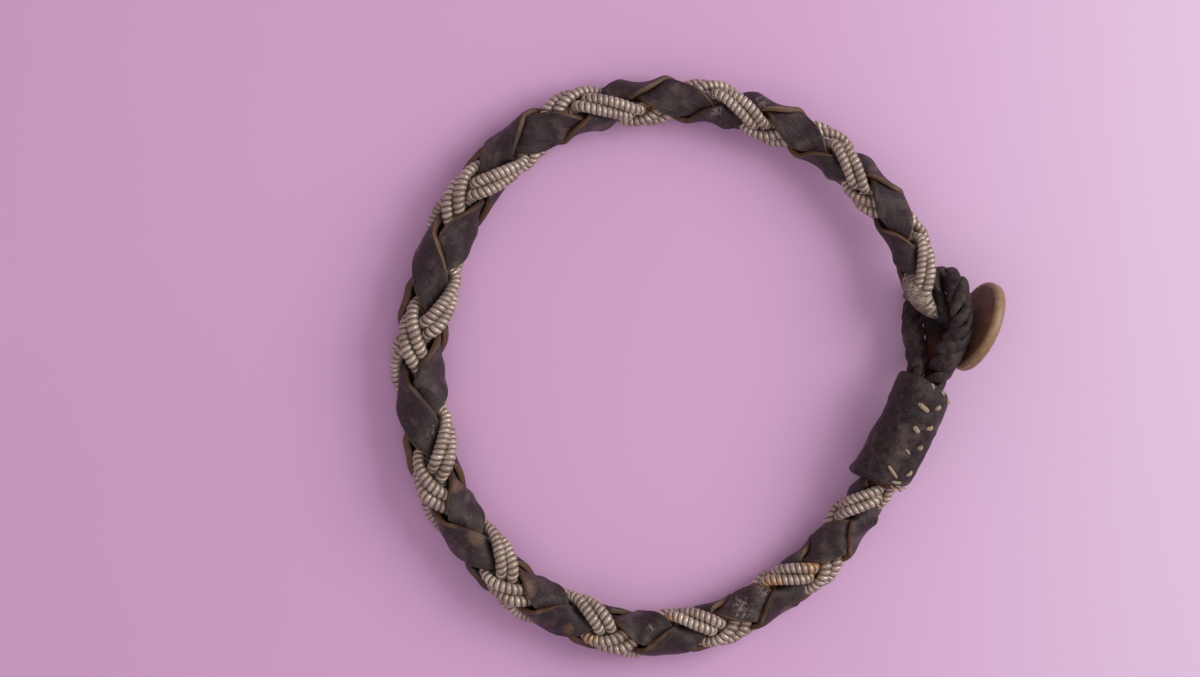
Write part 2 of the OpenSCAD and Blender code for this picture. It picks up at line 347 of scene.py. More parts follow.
def lumps(points, size, seed):
    """Soft lumps between about -1 and 1: twice the mean of ten sine waves of about that size
    in millimetres, in seeded directions."""
    generator = np.random.default_rng(seed)
    ways = unit(generator.normal(size=(lump_waves, 3)))
    ways = ways * generator.uniform(0.7, 1.4, (lump_waves, 1))
    waves = points @ ways.T * 2 * np.pi / size + generator.uniform(0, 2 * np.pi, lump_waves)
    return np.sin(waves).mean(axis=-1) * 2


def lengths(points):
    """Distance along a line of points from its first point to each."""
    return np.concatenate([[0], np.cumsum(np.linalg.norm(np.diff(points, axis=0), axis=1))])


def cord_line(strand, offset, length_step):
    """Points of one cord at even steps along it, with its tangent, two axes square to that,
    radius, distance from its start, and wear from 0 to 1 over its last stretch. The radius
    swells with the wear, and closes the tip by a quarter circle."""
    u = np.linspace(turn_start, strand["end"], cord_samples)
    middle, width, _, scale = strand_frame(strand, u)
    gone = lengths(middle + scale * offset * width)
    count = int(gone[-1] / length_step) + 1
    along = np.linspace(0, gone[-1], count)
    u = np.interp(along, gone, u)
    middle, width, face, scale = strand_frame(strand, u)
    points = middle + scale * offset * width
    tangent = unit(np.gradient(points, axis=0))
    face = square_to(face, tangent)
    left = gone[-1] - along
    worn = np.clip(1 - left / worn_length, 0, 1)
    radius = (cord_d / 2 + cord_swell) * scale[:, 0] * (1 + worn_swell * worn)
    radius = radius * np.sqrt(1 - np.clip(1 - left / tip_length, 0, tip_closing) ** 2)
    return points, tangent, np.cross(face, tangent), face, radius, along, worn


def wound_cord(strand, offset):
    """One cord. Its wire is an oval section carried along a helix that lies on the cord:
    middle + (radius - half height) (cos a, sin a), which wavers a little. Its core is a plain
    tube inside. Returns the rings of both, and columns for depth in the winding, from 0 at
    the core to 1 on the crown of the wire, and for nearness to the tip."""
    points, tangent, e1, e2, radius, along, worn = cord_line(
        strand, offset, wire_pitch / wire_steps)
    angle = 2 * np.pi * along / wire_pitch
    outward = np.cos(angle)[:, None] * e1 + np.sin(angle)[:, None] * e2
    height = wire_half_height * radius / (cord_d / 2) * (1 - worn_flattening * worn)
    waver = wire_waver * lumps(points, waver_length, 2)
    path = points + (radius - height + waver)[:, None] * outward
    turned = 2 * np.pi * np.arange(wire_sides) / wire_sides
    wire = (path[:, None] + (height[:, None] * np.cos(turned))[..., None] * outward[:, None]
            - (wire_half_width * np.sin(turned))[None, :, None] * tangent[:, None])
    depth = np.tile(wire_mid_depth + wire_depth_reach * np.cos(turned), (len(path), 1))
    core = slice(None, None, core_every)
    turned_core = 2 * np.pi * np.arange(core_sides) / core_sides
    core_radius = (radius - height)[core, None, None]
    tube = points[core, None] + core_radius * (
        np.cos(turned_core)[None, :, None] * e1[core, None]
        + np.sin(turned_core)[None, :, None] * e2[core, None])
    depth = np.concatenate([depth.ravel(), np.zeros(tube.size // 3)])
    tip = np.concatenate([np.repeat(worn, wire_sides), np.repeat(worn[core], core_sides)])
    return wire, tube, depth, tip


def nearness(points, spots):
    """How near each point is to a spot, seen from above: exp(-(distance / reach)^2)."""
    away = np.linalg.norm(points[:, None, :2] - spots[None, :, :2], axis=2)
    return np.exp(-(away / spots[None, :, 2]) ** 2).max(axis=1)


def route(rows, x):
    """Points of a table of places at positions x, with the level direction across its way,
    the upward one, and its other columns. The way is the chord between close neighbours."""
    step = 0.02
    values = eased(rows, x)
    ahead, behind = eased(rows, x + step)[:, :3], eased(rows, x - step)[:, :3]
    tangent = unit(ahead - behind)
    side = unit(np.cross(np.array([[0, 0, 1.0]]), tangent))
    return values[:, :3] + (ring_x, ring_y, 0), side, np.cross(tangent, side), values[:, 3:]


def oval_tube(rows, rings, sides):
    """Rings of an oval tube along a table of places, half width and half height:
    middle + half width cos a sideways + half height sin a upward."""
    middle, side, upward, halves = route(rows, np.linspace(0, len(rows) - 1, rings))
    turned = 2 * np.pi * np.arange(sides) / sides
    return (middle[:, None] + (halves[:, :1] * np.cos(turned))[..., None] * side[:, None]
            + (halves[:, 1:] * np.sin(turned))[..., None] * upward[:, None])


def raise_surface(tree, height, depth, below=None):
    """Bump of that height pattern, depth metres deep, over another bump if one is given."""
    sockets = {"Height": height, "Distance": depth, "Strength": 1.0}
    if below is not None:
        sockets["Normal"] = below
    return add(tree, "Bump", sockets).outputs["Normal"]


def column(tree, name):
    """Values of the piece's own column of that name."""
    return add(tree, "Attribute", attribute_name=name).outputs["Fac"]


def combine(tree, first, second, way="MULTIPLY"):
    """Two values multiplied, or put together in another way such as ADD."""
    return add(tree, "Math", {0: first, 1: second}, operation=way).outputs[0]


def tones(tree, value, low, high, first, second):
    """Colour from the first screen colour to the second, as value goes from low to high."""
    return mix(tree, spread(tree, value, low, high), paint(*first), paint(*second))


wire_material, tree, where = new_material("pewter_wire", roughness=0.5, specular=0.4)
wire_depth = column(tree, "depth")
wire_tip = column(tree, "tip")
wire_patches = noise(tree, where, 420.0, detail=4.0, roughness=0.6)
wire_specks = noise(tree, where, 2600.0, detail=3.0, roughness=0.6)
wire_tan = column(tree, "tan")
tan_reach = combine(tree, wire_tan, spread(tree, wire_patches, 0.3, 0.7, 0.4, 1.3))
wire_bright = tones(tree, wire_patches, 0.35, 0.7, (167, 153, 139), (211, 199, 182))
wire_touched = mix(tree, spread(tree, wire_specks, 0.6, 0.74), wire_bright, paint(178, 146, 108))
wire_worn = mix(tree, spread(tree, tan_reach, 0.3, 0.7), wire_touched, paint(205, 168, 128))
# The core thread's own reddish tone, also painted over the inner half of each wire turn as painted
# shade between the turns.
core_colour_and_gap_shade = tones(tree, wire_patches, 0.35, 0.65, (118, 88, 76), (116, 100, 88))
wire_with_gap_shade = mix(tree, spread(tree, wire_depth, 0.05, 0.55), core_colour_and_gap_shade, wire_worn)
wire_fuzz = noise(tree, where, 4200.0, detail=4.0, roughness=0.7, distortion=0.4)
wire_mottled = tones(tree, wire_fuzz, 0.36, 0.64, (84, 70, 62), (164, 148, 132))
wire_colour = mix(tree, spread(tree, wire_tip, 0.1, 0.8, 0, 0.85), wire_with_gap_shade, wire_mottled)
wire_metal = spread(tree, wire_depth, 0.1, 0.6, 0.0, 0.5)
wire_rough = spread(tree, wire_specks, 0.3, 0.7, 0.34, 0.54)
finish_surface(tree, Base_Color=wire_colour, Metallic=wire_metal, Roughness=wire_rough,
               Normal=raise_surface(tree, wire_specks, 0.00004))

for name, strand in (("wound_wire_a", CORDS_A), ("wound_wire_b", CORDS_B)):
    offset = (cord_d + pair_gap) / 2
    first, second = wound_cord(strand, -offset), wound_cord(strand, offset)
    points, faces = tubes(*first[:2], *second[:2])
    # What would lie below the paper is pressed flat on it
    points[:, 2] = np.maximum(points[:, 2], paper_clearance)
    piece = make_piece(name, points, faces, wire_material,
                       depth=np.concatenate([first[2], second[2]]),
                       tip=np.concatenate([first[3], second[3]]),
                       tan=nearness(points, TAN_WEAR))
    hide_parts(name.replace("wound_wire", "wound_cords"))

# The worn end has faint ribs of wire, and lumps of fluffed thread
worn_rings, worn_sides = 90, 48
worn_rib_height, worn_rib_step = 0.05, 0.8
worn_lump_height, worn_lump_length = 0.14, 1.3
worn_depth = 0.8
worn_end = oval_tube(WORN_END, worn_rings, worn_sides)
ribs = (worn_rib_height * np.sin(np.arange(worn_rings) * worn_rib_step)[:, None]
        + worn_lump_height * lumps(worn_end, worn_lump_length, 4))
ribbed = worn_end + ribs[..., None] * (0, 0, 1)
worn_count = worn_rings * worn_sides
worn_piece = make_piece("worn_cord_end", *tubes(ribbed), wire_material,
                        depth=np.full(worn_count, worn_depth), tip=np.ones(worn_count),
                        tan=np.zeros(worn_count))


# LEATHER STRIPS
# Two flat strands cut from black-dyed leather, about 1 mm thick. The dye stays on the skin
# side, so their cut edges show raw brown, and their faces are worn greyish or brown in places.
# Some pale grey spots are painted highlights, and the creases and low edges have painted shade.

# The strips' paths, in the same terms. Their section is cupped, in degrees for each
# millimetre; cup_change and widening, a share of the width, come and go twice in each turn.
# full_side and full_at say which edge is fuller, and at what share of each turn.
STRIP_A = dict(hand=-1, side=-1, swing=(0.85, 2.5), bulge=(0.15, 0.475), lag=(0, -0.005),
               lean=10, roll=12.5, cup=6, cup_change=-6, widening=-0.25,
               full_side=1, full_at=0.64)
STRIP_B = dict(hand=1, side=-1, swing=(2.45, 1.75), bulge=(-0.3, 0.25), lag=(0.005, -0.0025),
               lean=-30, roll=-25, cup=10, cup_change=-8, widening=0.1,
               full_side=-1, full_at=0.6)
strips_end = 13.42
strip_w, strip_t = 4.3, 1.0
strip_corner = 0.32
strip_edge_reach = 0.5
strip_fullness, full_reach = 0.6, 0.08
least_cup = 0.2
edge_waver, edge_waver_length = 0.05, 5.0
face_relief, face_relief_length = 0.03, 2.2
# Raw brown band along an edge, and how it fades out before the strip's end
edge_band = 0.38
edge_fade_length, edge_fade_start = 4, 0.4
strip_rings_per_turn = 50
corner_points, flat_points = 5, 9
# Scuffed places of the skin side, and spots with a painted highlight where light glints on it: x,
# y, reach
SCUFFS_AND_HIGHLIGHTS = np.array([
    [5.6, -29.8, 1.5], [8.2, -27.8, 1.0], [-5.7, -32.3, 0.6], [8.3, 33.1, 1.0], [2.5, 31.9, 0.8],
    [-32.5, -7.9, 1.0], [-14.5, -30.0, 0.9],
])
# Places where the dye is worn off down to brown fibres, in the same way
BROWN_WEAR = np.array([
    [-21.4, -27.4, 1.5], [-8.6, -33.9, 1.1], [-16.0, -32.6, 0.8], [-27.3, -21.2, 1.1],
    [-29.8, -14.7, 0.9], [7.6, -26.4, 0.9], [15.6, -26.6, 0.8],
])


def strip_outline():
    """Section of a strip as shares of its half width, added width and height: two straight
    faces, and four corners that are quarter circles."""
    quarter = np.radians(np.linspace(0, 90, corner_points))
    flat = np.linspace(1, -1, flat_points + 2)[1:-1]
    high = strip_t / 2 - strip_corner
    corners = []
    for start, share, up in ((0, 1, 1), (90, -1, 1), (180, -1, -1), (270, 1, -1)):
        turned = quarter + np.radians(start)
        corners.append(np.column_stack([np.full(corner_points, share),
                                        strip_corner * np.cos(turned),
                                        up * high + strip_corner * np.sin(turned)]))
    top = np.column_stack([flat, 0 * flat, np.full(flat_points, strip_t / 2)])
    below = top[::-1] * (1, 1, -1)
    return np.vstack([corners[0], top, corners[1], corners[2], below, corners[3]])


def bell(*distances):
    """Bell curve exp(-d^2), with d^2 the sum of the squares of distances over their reach."""
    return np.exp(-sum(distance**2 for distance in distances))


def leather_strip(strand):
    """One strip. Its section is bent to a cup of so many degrees for each millimetre: a point
    q0 across and q1 up goes to (reach + q1) (sin, cos) of bend q0. Its edges waver a little,
    and one edge is fuller once in each turn, where the strips meet, by a bell curve. Returns
    rings of points, how near each is to a cut edge, how deep in the cut, from 0 at the faces
    to 1 midway, and where it lies along and across the strip."""
    count = int((strips_end - turn_start) * strip_rings_per_turn)
    u = np.linspace(turn_start, strips_end, count)
    middle, width, face, scale = strand_frame(strand, u)
    gone = lengths(middle)
    outline = strip_outline()
    wave = np.cos(4 * np.pi * u)
    half = (strip_w - strip_t) / 2 * (1 + strand["widening"] * wave) + strip_edge_reach * strip_t
    waver = edge_waver * lumps(middle, edge_waver_length, 3)
    half = (half - strip_corner + waver)[:, None]
    near_full = bell(((u - strand["full_at"] + 0.5) % 1 - 0.5) / full_reach)
    on_full_side = outline[:, 0] * strand["full_side"] > 0
    half = half + strip_fullness * near_full[:, None] * on_full_side
    q0 = outline[:, 0] * half + outline[:, 1]
    q1 = np.tile(outline[:, 2], (count, 1))
    cup = np.maximum(strand["cup"] + strand["cup_change"] * wave, least_cup)
    bend = np.radians(cup)[:, None]
    reach = 1 / bend
    x = (reach + q1) * np.sin(bend * q0)
    y = (reach + q1) * np.cos(bend * q0) - reach
    section = x[..., None] * width[:, None] + y[..., None] * face[:, None]
    points = middle[:, None] + scale[..., None] * section
    relief = face_relief * lumps(points, face_relief_length, 5)
    points = points + relief[..., None] * face[:, None]
    edge = np.clip(1 - (half + strip_corner - np.abs(q0)) / edge_band, 0, 1)
    fade = np.clip((gone[-1] - gone) / edge_fade_length - edge_fade_start, 0, 1)
    edge = edge * fade[:, None]
    return points, edge, 1 - 2 * np.abs(q1) / strip_t, np.repeat(gone, len(outline)), q0


def stretch(tree, along, across, scale):
    """Pattern coordinates from two columns, each multiplied by its part of scale."""
    flat = add(tree, "CombineXYZ", {"X": along, "Y": across}).outputs["Vector"]
    return add(tree, "Mapping", {"Vector": flat, "Scale": scale}).outputs["Vector"]


strip_material, tree, where = new_material("strip_leather", roughness=0.5, specular=0.4)
strip_edge = column(tree, "edge")
strip_scuff = column(tree, "scuff")
strip_cut = column(tree, "cut")
on_strip = stretch(tree, column(tree, "along"), column(tree, "across"), (0.55, 2.4, 1))
strip_creases = noise(tree, on_strip, 1.3, detail=5.0, roughness=0.62, distortion=0.6)
strip_patches = noise(tree, where, 330.0, detail=4.0, roughness=0.6)
strip_grain = noise(tree, where, 5200.0, detail=3.0, roughness=0.6)
strip_smears = noise(tree, where, 1500.0, detail=5.0, roughness=0.7, distortion=1.5)
strip_dust = noise(tree, where, 3000.0, detail=2.0, roughness=0.5)
# Black dye, painted darker where the crease bump is low, as painted shade in the creases.
strip_dye_and_crease_shade = tones(tree, strip_creases, 0.35, 0.65, (34, 24, 25), (57, 44, 43))
strip_rubbed = mix(tree, spread(tree, strip_patches, 0.48, 0.72), strip_dye_and_crease_shade, paint(92, 77, 74))
strip_dusty = mix(tree, spread(tree, strip_dust, 0.66, 0.78, 0, 0.5),
                  strip_rubbed, paint(136, 122, 114))
strip_brown = column(tree, "brown")
brown_reach = combine(tree, strip_brown, spread(tree, strip_smears, 0.3, 0.6, 0.3, 1))
strip_bare = mix(tree, spread(tree, brown_reach, 0.15, 0.7, 0, 0.75),
                 strip_dusty, paint(120, 94, 68))
# Pale grey patches: real scuffs, and painted highlights where light glints on the leather.
scuff_reach = combine(tree, strip_scuff, spread(tree, strip_smears, 0.42, 0.62))
strip_scuffed = mix(tree, spread(tree, scuff_reach, 0.2, 0.7, 0, 0.7),
                    strip_bare, paint(150, 136, 128))
edge_reach = combine(tree, strip_edge, spread(tree, strip_grain, 0.3, 0.7, -0.12, 0.12), "ADD")
edge_spells = noise(tree, where, 130.0, detail=2.0)
edge_brown = tones(tree, edge_spells, 0.38, 0.62, (72, 56, 44), (108, 82, 58))
edge_tones = mix(tree, spread(tree, strip_cut, 0.25, 0.8), edge_brown, paint(100, 72, 52))
edge_share = spread(tree, edge_reach, 0.45, 0.72)
edge_share = combine(tree, edge_share, spread(tree, edge_spells, 0.35, 0.5, 0.45, 1))
# Painted shade: the raw brown edges are painted dark low down, near the paper, where they lie in
# shade.
strip_height = add(tree, "SeparateXYZ", {"Vector": where}).outputs["Z"]
edge_share = combine(tree, edge_share, spread(tree, strip_height, 0.0014, 0.0036, 0.2, 1))
strip_colour = mix(tree, edge_share, strip_scuffed, edge_tones)
strip_rough = spread(tree, strip_creases, 0.3, 0.7, 0.4, 0.58)
strip_relief = raise_surface(tree, strip_creases, 0.00012)
finish_surface(tree, Base_Color=strip_colour, Roughness=strip_rough,
               Normal=raise_surface(tree, strip_grain, 0.00003, strip_relief))

for name, strand in (("leather_lace_a", STRIP_A), ("leather_lace_b", STRIP_B)):
    rings, edge, cut, along, across = leather_strip(strand)
    points, faces = tubes(rings)
    piece = make_piece(name, points, faces, strip_material, edge=edge, cut=cut, along=along,
                       across=across, scuff=nearness(points, SCUFFS_AND_HIGHLIGHTS),
                       brown=nearness(points, BROWN_WEAR))
    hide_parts(name.replace("lace", "strip"))


# END SLEEVE
# A piece of soft black leather wrapped round the braid's end and the two legs of the loop.
# Its edge laps over on the outer side, where cream thread sews it down in two rows.

sleeve_from, sleeve_to, sleeve_slant = 4.5, 27, 2.2
sleeve_wall, sleeve_r_loop, sleeve_r_braid = 1.0, 3.6, 4.0
sleeve_length, sleeve_r = 12.4, 3.7
# The mouth at the loop's end reaches further on one side: by how much, at what degrees
# round, over what share of the sleeve, and how much of that all round
mouth_slant, mouth_side, mouth_share, mouth_all_round = 1.8, 150, 0.3, 0.87
sleeve_lip = 0.04
outer_rings, inner_rings, lip_points, sleeve_rounds = 90, 24, 9, 120
# Seam: degrees round, its furrow, and how it wanders; dents of its stitches
sleeve_seam, furrow_depth, furrow_reach = 66, 0.2, 8
seam_wander, seam_waves = 5, 9
dent_depth, dent_spread = 0.15, 0.55
broad_height, broad_length, fine_height, fine_length = 0.15, 4.5, 0.05, 1.7
mouth_drop, drop_share = 0.45, 0.07
# Raised fold beside the mouth, flatter outer side, and sunk corner at the braid's end: share
# along the sleeve, its reach, degrees round, their reach, height
SLEEVE_FORMS = np.array([
    [0.07, 0.07, 20, 40, 0.35], [0.6, 0.3, 8, 38, -0.5], [1, 0.14, 0, 45, -0.45],
])
# Crease: share along the sleeve at 30 degrees and slope from there, then its depth, its
# reach along the sleeve, and its middle and reach in degrees
crease_share, crease_at, crease_slope = 0.13, 30, 0.0014
crease_depth, crease_reach, crease_middle, crease_round = 0.24, 0.022, 35, 30
# Stitches: share along the sleeve, degrees round it, length, thickness, heading in degrees
STITCHES = np.array([
    [0.163, 83, 2.0, 0.62, -42], [0.137, 51, 1.1, 0.6, 10], [0.358, 81, 1.4, 0.62, -52],
    [0.323, 52, 1.25, 0.55, 3], [0.533, 53, 0.9, 0.55, 5], [0.589, 77, 1.1, 0.34, -52],
    [0.02, 72, 0.9, 0.34, -70], [0.03, 44, 0.8, 0.4, -45], [0.07, 22, 0.8, 0.5, -70],
    [0.829, 46, 1.3, 0.5, 25], [0.83, 84, 2.4, 0.42, -56], [0.95, 62, 1.6, 0.4, -15],
])


def sleeve_point(share, turned, out):
    """Point at a share of the sleeve's length and turned degrees round, out millimetres from
    its middle. The braid's end is cut aslant by the cosine of the way round, and so is the
    mouth at the loop, whose slant fades as (1 - share / mouth_share)^2."""
    shape = np.broadcast(share, turned, out).shape
    share, turned, out = (np.broadcast_to(v, shape).ravel() for v in (share, turned, out))
    round_way = np.radians(turned)
    place = sleeve_from + share * (sleeve_to - sleeve_from)
    place = place - share * sleeve_slant * np.cos(round_way)
    aslant = mouth_all_round + np.cos(np.radians(turned - mouth_side))
    place = place - mouth_slant * np.clip(1 - share / mouth_share, 0, 1) ** 2 * aslant
    _, outward, upward = ring_axes(place)
    away = np.cos(round_way)[:, None] * outward + np.sin(round_way)[:, None] * upward
    return (ring_point(place) + out[:, None] * away).reshape(*shape, 3)


def sleeve_radius(share):
    """Outer radius at a share of the sleeve's length, evenly from the loop's end to the
    braid's."""
    return sleeve_r_loop + share * (sleeve_r_braid - sleeve_r_loop)


def round_from(turned, place):
    """Degrees round the sleeve from a place, between -180 and 180."""
    return (turned - place + 180) % 360 - 180


def sleeve_rise(share, turned):
    """Height over the plain sleeve: lumps of soft leather, the furrow of the seam, a dent at
    each stitch, a mouth drawn in at the rim, the forms of the table and a slanted crease.
    All but the lumps are bell curves of the distance from their place."""
    spots = sleeve_point(share, turned, sleeve_radius(share))
    rise = (broad_height * lumps(spots, broad_length, 7)
            + fine_height * lumps(spots, fine_length, 8))
    seam = sleeve_seam + seam_wander * np.sin(seam_waves * share)
    rise = rise - furrow_depth * bell(round_from(turned, seam) / furrow_reach)
    for at, place, *_ in STITCHES:
        along = (share - at) * sleeve_length
        around = np.radians(round_from(turned, place)) * sleeve_r
        rise = rise - dent_depth * np.exp(-(along**2 + around**2) / dent_spread)
    rise = rise - mouth_drop * bell(share / drop_share)
    for at, reach, place, reach_round, height in SLEEVE_FORMS:
        rise = rise + height * bell((share - at) / reach, round_from(turned, place) / reach_round)
    from_crease = share - crease_share - crease_slope * round_from(turned, crease_at)
    return rise - crease_depth * bell(from_crease / crease_reach,
                                      round_from(turned, crease_middle) / crease_round)


# The wall runs up its outside, over the rounded lip at the braid's end, back along its
# inside and over the other lip; wall_depth is 0 on the outside and 1 on the inside
lip = np.radians(np.linspace(90, -90, lip_points))[1:-1]
wall_share = np.concatenate([
    np.linspace(sleeve_lip, 1 - sleeve_lip, outer_rings),
    1 - sleeve_lip + sleeve_lip * np.cos(lip),
    np.linspace(1 - sleeve_lip, sleeve_lip, inner_rings),
    sleeve_lip - sleeve_lip * np.cos(lip),
])[:, None]
wall_depth = np.concatenate([
    np.zeros(outer_rings), (1 - np.sin(lip)) / 2, np.ones(inner_rings), (1 + np.sin(lip)) / 2,
])[:, None]
wall_turned = np.linspace(-90, 270, sleeve_rounds, endpoint=False)[None, :]
wall_out = (sleeve_radius(wall_share) - sleeve_wall * wall_depth
            + (1 - wall_depth) * sleeve_rise(wall_share, wall_turned))
sleeve_rings = sleeve_point(wall_share, wall_turned, wall_out)

clasp_material, tree, where = new_material("clasp_leather", roughness=0.58, specular=0.3)
clasp_patches = noise(tree, where, 300.0, detail=4.0, roughness=0.6)
clasp_creases = noise(tree, where, 1100.0, detail=4.0, roughness=0.6, distortion=0.2)
clasp_grain = add(tree, "TexVoronoi", {"Vector": where, "Scale": 3600.0},
                  feature="SMOOTH_F1").outputs["Distance"]
# Black dye, painted darker where the crease bump is low, as painted shade in the creases.
clasp_dye_and_crease_shade = tones(tree, clasp_creases, 0.35, 0.65, (31, 22, 25), (60, 48, 45))
clasp_rubbed = mix(tree, spread(tree, clasp_patches, 0.5, 0.74), clasp_dye_and_crease_shade, paint(92, 80, 70))
clasp_dust = noise(tree, where, 2800.0, detail=2.0)
clasp_dusty = mix(tree, spread(tree, clasp_dust, 0.64, 0.78, 0, 0.45),
                  clasp_rubbed, paint(128, 116, 104))
clasp_proud = column(tree, "proud")
# Painted shade: the deep parts of the plait, between its straps, are painted near black.
clasp_colour = mix(tree, spread(tree, clasp_proud, 0.0, 0.8), paint(24, 17, 18), clasp_dusty)
clasp_relief = raise_surface(tree, clasp_creases, 0.00014)
clasp_rough = spread(tree, clasp_creases, 0.3, 0.7, 0.46, 0.68)
finish_surface(tree, Base_Color=clasp_colour, Roughness=clasp_rough,
               Normal=raise_surface(tree, clasp_grain, 0.00005, clasp_relief))

sleeve = make_piece("sewn_sleeve", *tubes(sleeve_rings, joined=True), clasp_material,
                    proud=np.ones(sleeve_rings.size // 3))
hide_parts("end_sleeve")


thread_rings, thread_sides = 29, 14
ply_depth, ply_twist = 0.06, 16
thread_sink, thread_lift = 0.85, 0.22
thread_closing = 1.96


def bent_thread(middle, normal, heading, length, thickness):
    """One stitch: a round thread that arches over the leather and dives into it at both ends.
    For x from -1/2 to 1/2 its line runs length x along the stitch, at thickness (lift -
    sink (2x)^2) over the leather. Its radius closes by the root of 1 - (closing x)^3, and its
    two plies make its section an oval that turns along it."""
    way = np.array([np.cos(np.radians(heading)), np.sin(np.radians(heading)), 0])
    way = square_to(way, normal)
    side = np.cross(way, normal)
    x = np.linspace(-0.5, 0.5, thread_rings)
    turned = 2 * np.pi * np.arange(thread_sides) / thread_sides
    plies = 1 + ply_depth * np.cos(2 * turned[None, :] - ply_twist * length * x[:, None])
    closing = np.sqrt(1 - np.abs(thread_closing * x) ** 3)[:, None]
    radius = (thickness / 2 * closing * plies)[..., None]
    sink = (thickness * thread_sink * (2 * x) ** 2)[:, None]
    line = middle + (length * x)[:, None] * way + (thickness * thread_lift - sink) * normal
    return line[:, None] + radius * (np.cos(turned)[None, :, None] * normal
                                     + np.sin(turned)[None, :, None] * side)


stitch_rings = []
for share, turned, length, thickness, heading in STITCHES:
    reach = sleeve_radius(share) + sleeve_rise(np.array([share]), np.array([turned]))[0]
    spots = sleeve_point(share, turned, np.array([reach, reach + 1]))
    stitch_rings.append(bent_thread(spots[0], spots[1] - spots[0], heading, length, thickness))

thread_material, tree, where = new_material("cream_thread", roughness=0.7, specular=0.3)
thread_fibres = noise(tree, where, 4200.0, detail=3.0, roughness=0.6, distortion=0.5)
thread_colour = mix(tree, thread_fibres, paint(124, 106, 86), paint(198, 182, 154))
finish_surface(tree, Base_Color=thread_colour,
               Normal=raise_surface(tree, thread_fibres, 0.00006))
stitches = make_piece("sleeve_stitches", *tubes(*stitch_rings), thread_material)


# FRAYED LINING
# Where the braid goes into the sleeve, a torn scrap of reddish flesh side and three frayed
# ends of the cream thread show under its edge.

# Torn scrap and one frayed end, from the ring's middle: x, y, z, half width, half height
SCRAP = np.array([
    [25.9, -14.1, 5.8, 0.3, 0.3], [26.7, -14.1, 6.9, 0.4, 0.3], [27.5, -14.3, 7.2, 0.5, 0.35],
    [28.3, -14.6, 6.9, 0.4, 0.35], [28.8, -14.9, 6.4, 0.2, 0.2],
])
FRAYED = np.array([
    [27.6, -13.9, 7.0, 0.12, 0.12], [28.2, -14.4, 7.6, 0.18, 0.18], [28.8, -14.9, 7.3, 0.16, 0.16],
    [29.4, -15.3, 6.5, 0.1, 0.1],
])
scrap_rings, scrap_sides = 40, 16
scrap_lump_height, scrap_lump_length = 0.12, 1.1
scrap = oval_tube(SCRAP, scrap_rings, scrap_sides)
scrap_lumps = scrap_lump_height * lumps(scrap, scrap_lump_length, 31)
scrap = scrap + scrap_lumps[..., None] * (0.6, 1, 1)
flesh_material, tree, where = new_material("flesh_side", roughness=0.8, specular=0.2)
flesh_clouds = noise(tree, where, 900.0, detail=4.0, roughness=0.6)
flesh_y = add(tree, "SeparateXYZ", {"Vector": where}).outputs["Y"]
flesh_red = mix(tree, flesh_clouds, paint(66, 38, 32), paint(104, 62, 48))
# The tab's folded end has this surface too, and is painted darker where it lies under the tab, as
# painted shade
flesh_painted_shade = spread(tree, flesh_y, 0.0026, 0.0046)
finish_surface(tree, Base_Color=mix(tree, flesh_painted_shade, flesh_red, paint(38, 27, 27)),
               Normal=raise_surface(tree, flesh_clouds, 0.0001))
torn = make_piece("torn_lining", *tubes(scrap), flesh_material)

# Each frayed end is shifted from the one before, and wavers by a sine
frayed_x, frayed_y, frayed_drop, frayed_waver = 0.3, 0.15, 0.3, 0.1
frayed = []
for number in range(3):
    shift = (number * frayed_x, number * frayed_y, -frayed_drop * abs(number - 1), 0, 0)
    waver = frayed_waver * np.sin(np.arange(scrap_rings) / 4 + 2 * number)
    frayed.append(oval_tube(FRAYED + shift, scrap_rings, scrap_sides) + waver[:, None, None])
frayed_ends = make_piece("frayed_thread", *tubes(*frayed), thread_material)


# CLASP LOOP
# A loop of three soft leather straps, plaited by winding them round one another. Its two legs
# come out of the sleeve, it passes under and over the end of the braid, and the button is
# pushed through it.

# Line of the loop from the ring's middle: x, y, z, fullness
LOOP = np.array([
    [29.7, -6.3, 6.2, 0.83], [30.7, -3.2, 6.6, 0.83], [31.5, -0.4, 6.2, 0.9],
    [31.4, 2.9, 4.6, 1], [31.2, 6.0, 3.1, 1], [31.9, 8.8, 1.8, 0.95],
    [34.0, 10.9, 2.2, 1], [35.5, 11.2, 4.7, 1], [36.1, 10.3, 7.1, 1.1],
    [36.7, 7.7, 8.7, 1], [36.7, 4.7, 8.9, 1.05], [35.3, 1.8, 7.9, 1.25],
    [33.9, -0.9, 6.8, 1.05], [33.2, -3.5, 6.6, 0.83], [32.2, -6.8, 6.2, 0.83],
])
plait_period, plait_swing = 6.4, 0.82
thong_half_width, thong_half_height = 0.82, 0.62
thong_rings, thong_sides, thong_count = 320, 20, 3
thong_lump_height, thong_lump_length = 0.1, 1.8
# Unevenness of the winding, swing and width: size, radians for each millimetre, and radians
# from strap to strap
slow_sway, quick_sway = (0.4, 0.6, 0), (0.25, 1.1, 2)
swing_sway, width_sway = (0.12, 1.3, 2.5), (0.18, 1.7, 2)
# Distance from the loop's line at which a strap starts to stand proud, and its reach; nearer the
# line a strap is painted near black, as painted shade between the straps
proud_from, proud_reach = 0.8, 0.6


